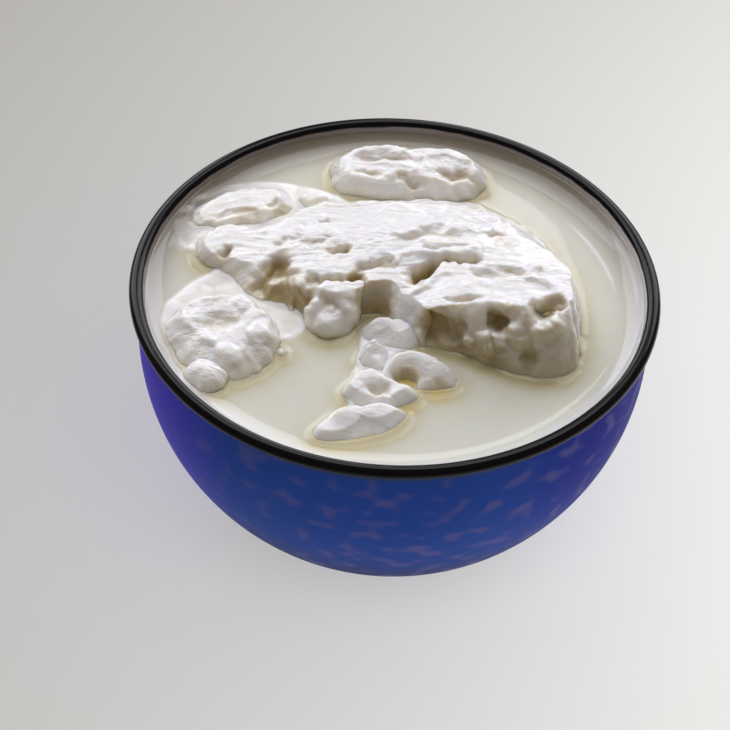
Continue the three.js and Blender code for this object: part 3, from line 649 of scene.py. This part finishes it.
def makeCurd(node, curd, material, number):
    # Rings from the middle of the top out to the outline and back in underneath, spaced evenly
    # over the slope. Then dabs and grain move each point along the surface's normal.
    ring = smoothLoop(curd["outline"], curdMesh["roughSteps"])
    length = np.hypot(*np.diff(ring[:, :2], axis=0).T).sum()
    columns = int(np.clip(length / curdMesh["columnStep"], *curdMesh["columns"]))
    ring = raggedRing(curd, columns)
    reach = np.hypot(ring[:, 0] - curd["centre"][0], ring[:, 1] - curd["centre"][1]).max()
    rows = int(np.clip(curdMesh["slope"] * reach / curdMesh["rowStep"], *curdMesh["rows"]))

    def surface(share):
        x, y = curdRings(curd, ring, share)
        step = np.hypot(np.diff(x, axis=0), np.diff(y, axis=0))
        left = np.vstack([np.cumsum(step[::-1], axis=0)[::-1], np.zeros((1, columns))])
        z, hollow = curdHeight(curd, x, y, left / ring[:, 2])
        return x, y, z, hollow

    fine = np.linspace(0, 1, curdMesh["fineRows"])[:, None] + np.zeros(columns)
    x, y, z, hollow = surface(fine)
    step = np.sqrt(np.diff(x, axis=0) ** 2 + np.diff(y, axis=0) ** 2 + np.diff(z, axis=0) ** 2)
    along = np.vstack([np.zeros(columns), np.cumsum(step, axis=0)])
    want = np.linspace(0, 1, rows)
    share = np.stack([np.interp(want, a / a[-1], f) for a, f in zip(along.T, fine.T)], 1)
    x, y, z, hollow = surface(share)
    foot = wheyLevel - curdSink
    cx, cy = curd["centre"]
    underShare = np.array([0.985, 0.95, curdKeel, 0.6, 0.3, 0.0])[:, None]
    underDepth = np.array([0.18, 0.35, 0.8, 0.95, 1.0, 1.0])[:, None] * curd["depth"]
    under = np.stack([cx + (ring[:, 0] - cx) * underShare, cy + (ring[:, 1] - cy) * underShare,
                      foot - underDepth + np.zeros(columns)], -1)
    points = np.concatenate([np.stack([x, y, foot + z], -1), under])
    top = np.ones((len(points), 1))
    top[-len(underShare):] = 0

    normal = gridNormals(points)
    normal[0], normal[-1] = (0, 0, 1), (0, 0, -1)
    wobble = np.stack([0.7 * waveNoise(points, 6, 321 + k) + 0.3 * waveNoise(points, 3, 331 + k)
                       for k in range(3)], -1)
    plain = points
    for px, py, radius, rise in curd.get("dabs", []):
        nearest = np.argmin((plain[:rows, :, 0] - px) ** 2 + (plain[:rows, :, 1] - py) ** 2)
        middle = plain.reshape(-1, 3)[nearest]
        away = ((plain + wobble - middle) ** 2).sum(-1) / (dabReach * radius) ** 2
        dab = rise * np.clip(1 - away, 0, 1) ** dabPower * top
        way = normal + (0, 0, dabLift if rise > 0 else 0)
        way /= np.linalg.norm(way, axis=-1, keepdims=True) + 1e-12
        points = points + way * dab[..., None]
        hollow = hollow + np.maximum(-dab[:rows], 0)

    normal = gridNormals(points)
    normal[0], normal[-1] = (0, 0, 1), (0, 0, -1)
    seed = 40 + 10 * number
    r = curdRelief
    bend = np.stack([waveNoise(points, 16, seed + k) for k in (6, 7, 8)], -1)
    drawn = points * (0.3, 1, 1) + 1.2 * bend
    ridges = 1 - 2 * np.abs(waveNoise(drawn, 5.5, seed + 9))
    smear = ridges + 0.5 - np.abs(waveNoise(drawn, 2.2, seed + 10))
    flat = np.clip(normal[..., 2], 0, 1) ** 2
    calm = 1 - 0.6 * flat
    relief = curd["smear"] * 0.25 * smear * flat
    relief += curd["grain"] * calm * sum(portion * waveNoise(points, wavelength, seed + k)
                                         for k, (wavelength, portion) in enumerate(r["waves"]))
    warped = points + 1.2 * np.stack([waveNoise(points, 8, seed + k) for k in (3, 4, 5)], -1)
    inHollow = np.vstack([np.clip(hollow / 2.2, 0, 1), np.zeros((len(underShare), columns))])
    steep = np.clip(1.3 - 1.3 * flat, 0, 1) * (1 - 0.8 * inHollow)
    relief += curd["knobs"] * (lumpNoise(warped, r["knobs"], seed) - 0.55) * steep
    relief += 0.25 * curd["knobs"] * (lumpNoise(warped, r["smallKnobs"], seed + 2) - 0.6) * steep
    relief += curd["grain"] * 0.5 * calm * (lumpNoise(warped, r["grain"], seed + 1) - 0.7)
    # on the level parts the relief goes straight up, so that close columns never cross
    level = np.clip((normal[..., 2:] - 0.8) / 0.12, 0, 1)
    way = normal * (1 - level) + np.array([0, 0, 1]) * level
    points = points + way * (relief * top)[..., None]

    above = points[..., 2] - wheyLevel
    # the whey attribute is whey film plus painted shade: low on the side turned from the windows, in
    # hollows and on the listed spots
    facing = np.clip(0.5 - 0.9 * normal[..., 1], 0, 1)
    low = np.exp(-np.maximum(above, 0) / r["filmHeight"]) * facing
    deep = np.vstack([hollow, np.zeros((len(underShare), columns))]) / 4
    for px, py, radius, strength in curd.get("wheyAndShadeSpots", []):
        away = ((points[..., 0] - px) ** 2 + (points[..., 1] - py) ** 2) / radius ** 2
        deep = deep + strength * np.clip(1 - away, 0, 1) * np.clip(1.25 - 1.2 * normal[..., 2], 0, 1)
    wheyFilmAndShade = np.clip(curd.get("low", 0.45) * low + deep, 0, 1)
    # the lighter foot: wet whey, and painted light against the shade at the waterline
    wetAndLiftedFoot = r["wetAndLiftedFoot"] * np.exp(-np.maximum(above, 0) / r["wetHeight"])
    piece = gridMesh(node.replace("curd_", "wetCurd_"), points, {"whey": wheyFilmAndShade, "wetAndLiftedFoot": wetAndLiftedFoot})
    dress(piece, material, "curd", node)


def makeCurdWhite():
    # Fresh curd: milk protein with fat in it, a wet white gel that light soaks into for a few
    # millimetres, IOR about 1.36, with a film of whey over it that shines. The yellow-brown in the
    # hollows and low on the shaded side is partly whey and partly painted shade.
    material, tree = newMaterial("freshCurd")
    place = addNode(tree, "ShaderNodeTexCoord")
    # white to yellow-brown: whey film and painted shade
    colour = addNode(tree, "ShaderNodeValToRGB", {}, {}, {"Fac": attribute(tree, "whey")})
    setRamp(colour, [(0.0, "#f9f8f8"), (0.3, "#f0eadd"), (1.0, "#b8a475")])
    # its foot stands in whey, which climbs it; the foot is painted lighter, partly wet whey and partly
    # painted light that lifts the dark shade at the waterline
    wettedAndLifted = mixColours(tree, attribute(tree, "wetAndLiftedFoot"), (colour, 0), "#efe7cb")
    # grains about half a millimetre across, in patches where the film is thin
    drawn = addNode(tree, "ShaderNodeMapping", {}, {"Scale": (0.55, 1.0, 1.0)},
                    {"Vector": (place, "Object")})
    grain = noise(tree, (drawn, 0), {"Scale": 800.0, "Detail": 3.0, "Roughness": 0.62})
    patch = noise(tree, (place, "Object"), {"Scale": 90.0, "Detail": 1.0})
    thin = mapRange(tree, patch, 0.42, 0.62, low=0.15, high=0.85)
    bump = addNode(tree, "ShaderNodeBump", {}, {"Distance": 0.0007}, {"Height": grain, "Strength": thin})
    finishMaterial(tree, {"Roughness": 0.34, "IOR": 1.36, "Subsurface Weight": 0.75,
                          "Subsurface Radius": (0.0021, 0.0017, 0.0011), "Subsurface Scale": 1.0,
                          "Coat Weight": 0.9, "Coat Roughness": 0.1, "Coat IOR": 1.34},
                   {"Base Color": wettedAndLifted, "Normal": (bump, 0)})
    return material


curdWhite = makeCurdWhite()
for number, (node, curd) in enumerate(curds.items()):
    makeCurd(node, curd, curdWhite, number)
print("curds made:", len(curds))


wheySizes = {
    "wallRise": 2.4,    # how far it climbs the wall, by wetting
    "wallLength": 2.7,  # and how quickly that fades inwards
    "curdRise": 0.5,    # the same where it meets a curd
    "curdLength": 0.8,
    "underCurd": 0.6,   # and how quickly it fades under one
    "overlap": 0.15,    # how far its side reaches into the wall, so that no gap shows
    "rows": 165,
    "columns": 540,
    # painted highlights: bright arcs where the meniscus by the wall catches the light; from and to in
    # degrees, radius at each end
    "arcs": [[4, 37, 58.9, 56.6], [-2, 28, 64.0, 64.3]],
    "arcWidth": 0.45,
    "whiteWidth": 3.2,  # how far from the wall the enamel whitens it
    "shadeWidth": 6.5,  # and how far the rim's painted shadow reaches on the far side
    "farTurn": 1.65,    # where the far side is, in radians from the right
    # where it yellows by a curd: how far off in x and y the curd is looked for, strength, fade
    "yellows": [[0, 2.5, 0.8, 2.6], [-3, 0.8, 0.35, 2.2]],
    # deep yellow pools between the trail's curds, deeper whey with painted shade: x, y, radius
    "shadedPools": [[3.6, -33, 3.6], [12.4, -36.4, 2.6], [-2.6, -38.4, 2.4], [4.6, -42, 2.4]],
    "skinRise": 0.35,
    "skinFade": 1.2,    # the width over which a skin's edge thins out
    "outlineSteps": 400,
    "skinSteps": 240,
    "curdReach": 12,    # whey further from a curd than this takes no notice of it
    "farFromCurd": 20.0,
    # skins of cream lie on it between the left curds, and join the trail; clockwise [x, y]
    "skins": [
        [[-60.6, -16], [-59.8, -9], [-57, -4], [-53.4, 1], [-49.5, 5], [-46.4, 7.6], [-41, 6],
         [-34, 0], [-26, -6], [-22.6, -12.4], [-24.6, -17], [-30, -20], [-44, -20], [-56, -22]],
        [[-60, 20], [-59.4, 26.5], [-55.5, 33.5], [-49.5, 39.4], [-42, 43], [-33, 43.6], [-24, 42],
         [-16, 38.6], [-14, 34], [-24, 26], [-36, 18], [-50, 14], [-57.5, 14.4]],
        [[-10.4, -40], [-9.6, -32], [-8.6, -24], [-8, -17], [-4, -11.4], [3, -13], [5.6, -19],
         [0, -24], [-1, -30], [-1, -36], [1, -42], [-3, -47.6], [-9, -46]],
    ],
}


def distanceToRing(ring, x, y):
    # how far each point is from a closed line, below nought inside it
    away = np.full(x.shape, 1e9)
    inside = np.zeros(x.shape, bool)
    for (ax, ay), (bx, by) in zip(ring, np.roll(ring, -1, 0)):
        away = np.minimum(away, (x - ax) ** 2 + (y - ay) ** 2)
        inside ^= ((ay > y) != (by > y)) & (x < (bx - ax) * (y - ay) / (by - ay + 1e-12) + ax)
    return np.where(inside, -np.sqrt(away), np.sqrt(away))


def distanceToCurds(x, y):
    # how far each point is from the nearest curd's outline, below nought inside one
    s = wheySizes
    best = np.full(x.shape, s["farFromCurd"])
    for curd in curds.values():
        ring = raggedRing(curd, s["outlineSteps"])[:, :2]
        low, high = ring.min(0) - s["curdReach"], ring.max(0) + s["curdReach"]
        near = (x > low[0]) & (x < high[0]) & (y > low[1]) & (y < high[1])
        best[near] = np.minimum(best[near], distanceToRing(ring, x[near], y[near]))
    return best


def makeWhey(material):
    # A disc of rings whose height is the level plus a climb that dies away, as exp(-distance),
    # from the wall and from each curd; then down the inside of the bowl to its floor.
    s = wheySizes
    inset = bowlSizes["wall"] - s["overlap"]
    top = wheyLevel + s["wallRise"]
    wallRadius = bodyArc(bowlSizes["wall"], top, top, 1)[0, 0]
    turn = np.linspace(0, 2 * math.pi, s["columns"], endpoint=False)
    radius = wallRadius * np.linspace(0, 1, s["rows"])[:, None] ** 0.9
    x, y = radius * np.cos(turn), radius * np.sin(turn)
    toCurd = distanceToCurds(x, y)
    toWall = wallRadius - radius
    climb = s["curdRise"] * np.exp(-np.maximum(toCurd, 0) / s["curdLength"])
    climb = np.where(toCurd < 0, s["curdRise"] * np.exp(toCurd / s["underCurd"]), climb)
    toSkin = np.full(x.shape, 99.0)
    for skin in s["skins"]:
        toSkin = np.minimum(toSkin, distanceToRing(smoothLoop(skin, s["skinSteps"]), x, y))
    onSkin = np.clip(0.5 - toSkin / s["skinFade"], 0, 1)
    wrinkle = waveNoise(np.stack([x, y, 0 * x], -1), 6, 401)
    climb = climb + s["skinRise"] * onSkin * (1 + 0.5 * wrinkle)
    z = wheyLevel + s["wallRise"] * np.exp(-toWall / s["wallLength"]) + climb
    surface = np.stack([x, y, z], -1)
    side = bodyArc(inset, bowlSizes["wall"] + 2, top, 12)[::-1]
    side = np.vstack([side, [[30, bowlSizes["wall"] - 0.1], [0, bowlSizes["wall"] - 0.1]]])
    below = np.stack([side[:, :1] * np.cos(turn), side[:, :1] * np.sin(turn), side[:, 1:] + 0 * turn], -1)
    points = np.concatenate([surface, below])
    pad = np.zeros((len(side), s["columns"]))
    # the side of a curd away from the windows lies in yellow shade: look for a curd just behind
    byCurd = 0 * x
    for offX, offY, strength, fade in s["yellows"]:
        away = distanceToCurds(x + offX, y + offY)
        byCurd = np.maximum(byCurd, strength * np.exp(-np.maximum(away, 0) / fade))
    # painted highlight arcs by the wall
    bright = 0 * x
    for start, end, first, last in s["arcs"]:
        part = (np.degrees((turn + math.pi) % (2 * math.pi) - math.pi) - start) / (end - start)
        middle = first + (last - first) * part
        fade = np.clip(part / 0.25, 0, 1) * np.clip((1 - part) / 0.25, 0, 1)
        bright = bright + fade * np.exp(-((radius - middle) / s["arcWidth"]) ** 2)
    shadedPool = 0 * x
    for px, py, size in s["shadedPools"]:
        shadedPool = np.maximum(shadedPool, np.exp(-((x - px) ** 2 + (y - py) ** 2) / size ** 2))
    # the far side, where the rim's painted shadow lies
    paintedFarShade = np.clip(0.5 + 0.75 * np.cos(turn - s["farTurn"]), 0, 1)
    layers = {
        "shadedPool": shadedPool,
        "bright": bright,
        "byCurd": byCurd,
        "skin": onSkin * (1 + 0.12 * wrinkle),
        "skinEdgeAndGlint": np.exp(-((toSkin + 1.1) / 0.9) ** 2),
        "byWall": np.exp(-(toWall / s["whiteWidth"]) ** 2) + 0 * turn,
        "paintedRimShadow": np.exp(-(toWall / s["shadeWidth"]) ** 2) * paintedFarShade,
    }
    values = {name: np.vstack([layer, pad]) for name, layer in layers.items()}
    dress(gridMesh("wheyPool", points, values), material, "whey", "whey")


def makeWheyLiquid():
    # Whey with milk left in it: thin, cloudy, pale green-yellow, IOR about 1.345 and mirror smooth.
    # The layers are laid over it in turn: some are its own colour, some painted shade and painted
    # highlights.
    material, tree = newMaterial("cloudyWhey")
    place = addNode(tree, "ShaderNodeTexCoord")
    cloud = noise(tree, (place, "Object"), {"Scale": 90.0, "Detail": 3.0, "Roughness": 0.55})
    colour = mixColours(tree, cloud, "#dddecd", "#e4e5dc")
    for name, code in [
        ("byCurd", "#cbbd8a"),    # yellow shade by a curd
        ("skin", "#f1eee8"),      # a skin of cream
        ("skinEdgeAndGlint", "#ffffff"),  # and its thicker white edge, with a painted highlight on its meniscus
        ("shadedPool", "#d4bf72"),      # deep yellow pools in the trail: deeper whey and painted shade
        ("byWall", "#dbdce1"),    # white enamel showing through where it is shallow
        ("bright", "#ffffff"),    # painted highlight arcs by the wall
        ("paintedRimShadow", "#8f8574"),  # painted shadow of the rim on the far side
    ]:
        colour = mixColours(tree, attribute(tree, name), colour, code)
    finishMaterial(tree, {"Roughness": 0.03, "IOR": 1.345, "Subsurface Weight": 0.7,
                          "Subsurface Radius": (0.0022, 0.0021, 0.0015), "Subsurface Scale": 1.0},
                   {"Base Color": colour})
    return material


makeWhey(makeWheyLiquid())
print("whey made")


studio = {
    "floorColour": "#dadad8",
    "floorHalf": 3.0,
    "worldColour": "#f4eadf",
    "worldStrength": 0.22,
    # each window: bearing (degrees right of straight back), elevation, distance, width, height, watts
    "windows": [
        {"bearing": -32, "elevation": 29, "distance": 1.6, "width": 1.04, "height": 0.98, "power": 11.4},
        {"bearing": 22, "elevation": 26, "distance": 1.6, "width": 1.16, "height": 0.88, "power": 11.4},
        {"bearing": -8, "elevation": 62, "distance": 1.6, "width": 1.5, "height": 0.8, "power": 12.0},
    ],
    "windowColour": "#f4f4fc",
    # soft lamps for the floor alone, so that it pales towards the right and the front
    "floorLamps": [
        {"name": "sideLamp", "place": (0.5, 0.03, 0.4), "size": 0.4, "power": 4.8},
        {"name": "frontLamp", "place": (0.14, -0.4, 0.6), "size": 0.5, "power": 0.9},
        {"name": "overLamp", "place": (0.1, 0.0, 1.3), "size": 1.4, "power": 0.9},
    ],
}
view = {
    "elevation": 41.93,  # degrees above the rim's plane
    "distance": 0.7,     # from the middle of the rim
    "aim": (-0.0071, 0.0, -0.0309),  # what the picture's centre looks at, from the middle of the rim
    "roll": 2.326,
    "focalPixels": 2658.8,  # focal length in pixels of the 730 pixel frame
    "framePixels": 730,
}


def makeFloor():
    # a plain pale sheet of card
    half = studio["floorHalf"]
    mesh = bpy.data.meshes.new("paleFloor")
    corners = [(-half, -half, 0), (half, -half, 0), (half, half, 0), (-half, half, 0)]
    mesh.from_pydata(corners, [], [(0, 1, 2, 3)])
    floor = bpy.data.objects.new("paleFloor", mesh)
    bpy.context.scene.collection.objects.link(floor)
    material, tree = newMaterial("paleCard")
    place = addNode(tree, "ShaderNodeTexCoord")
    tooth = noise(tree, (place, "Object"), {"Scale": 400.0})
    bump = addNode(tree, "ShaderNodeBump", {}, {"Strength": 0.03, "Distance": 0.0002}, {"Height": tooth})
    finishMaterial(tree, {"Base Color": hexToLinear(studio["floorColour"]), "Roughness": 0.9,
                          "Specular IOR Level": 0.2}, {"Normal": (bump, 0)})
    mesh.materials.append(material)
    return floor


def lightOnly(lamp, floor, state):
    # the lamp lights the floor alone (INCLUDE), or everything but the floor (EXCLUDE)
    group = bpy.data.collections.new(lamp.name + "Lights")
    group.objects.link(floor)
    group.collection_objects[0].light_linking.link_state = state
    lamp.light_linking.receiver_collection = group


def addLamp(name, place, ahead, power):
    data = bpy.data.lights.new(name, "AREA")
    data.energy = power
    lamp = bpy.data.objects.new(name, data)
    lamp.location = place
    lamp.rotation_euler = ahead.to_track_quat("-Z", "Y").to_euler()
    bpy.context.scene.collection.objects.link(lamp)
    return lamp


def makeLights(floor):
    rimCentre = Vector((0, 0, bowlHeight * mm))
    for number, window in enumerate(studio["windows"]):
        bearing, rise = math.radians(window["bearing"]), math.radians(window["elevation"])
        level = math.cos(rise)
        way = Vector((math.sin(bearing) * level, math.cos(bearing) * level, math.sin(rise)))
        lamp = addLamp(f"window{number}", rimCentre + way * window["distance"], -way, window["power"])
        lamp.data.shape = "RECTANGLE"
        lamp.data.size, lamp.data.size_y = window["width"], window["height"]
        lamp.data.color = hexToLinear(studio["windowColour"])[:3]
        lightOnly(lamp, floor, "EXCLUDE")
    for over in studio["floorLamps"]:
        lamp = addLamp(over["name"], over["place"], -Vector(over["place"]), over["power"])
        lamp.data.size = over["size"]
        lightOnly(lamp, floor, "INCLUDE")
        lamp.light_linking.blocker_collection = lamp.light_linking.receiver_collection  # no shadow
    world = bpy.data.worlds.new("softRoom")
    bpy.context.scene.world = world
    world.use_nodes = True
    back = world.node_tree.nodes["Background"]
    back.inputs["Color"].default_value = hexToLinear(studio["worldColour"])
    back.inputs["Strength"].default_value = studio["worldStrength"]


def makeCamera():
    rise = math.radians(view["elevation"])
    rimCentre = Vector((0, 0, bowlHeight * mm))
    place = rimCentre + Vector((0, -math.cos(rise), math.sin(rise))) * view["distance"]
    ahead = (rimCentre + Vector(view["aim"]) - place).normalized()
    right = ahead.cross(Vector((0, 0, 1))).normalized()
    up = right.cross(ahead)
    c, s = math.cos(math.radians(view["roll"])), math.sin(math.radians(view["roll"]))
    axes = Matrix((right * c + up * s, up * c - right * s, -ahead)).transposed()
    data = bpy.data.cameras.new("camera")
    data.sensor_fit = "HORIZONTAL"
    data.sensor_width = 36.0
    data.lens = view["focalPixels"] / view["framePixels"] * data.sensor_width
    data.clip_start = 0.01
    camera = bpy.data.objects.new("camera", data)
    camera.matrix_world = Matrix.Translation(place) @ axes.to_4x4()
    bpy.context.scene.collection.objects.link(camera)
    bpy.context.scene.camera = camera


makeLights(makeFloor())
makeCamera()
bpy.context.scene.view_settings.view_transform = "Standard"
print("floor, light and camera set")
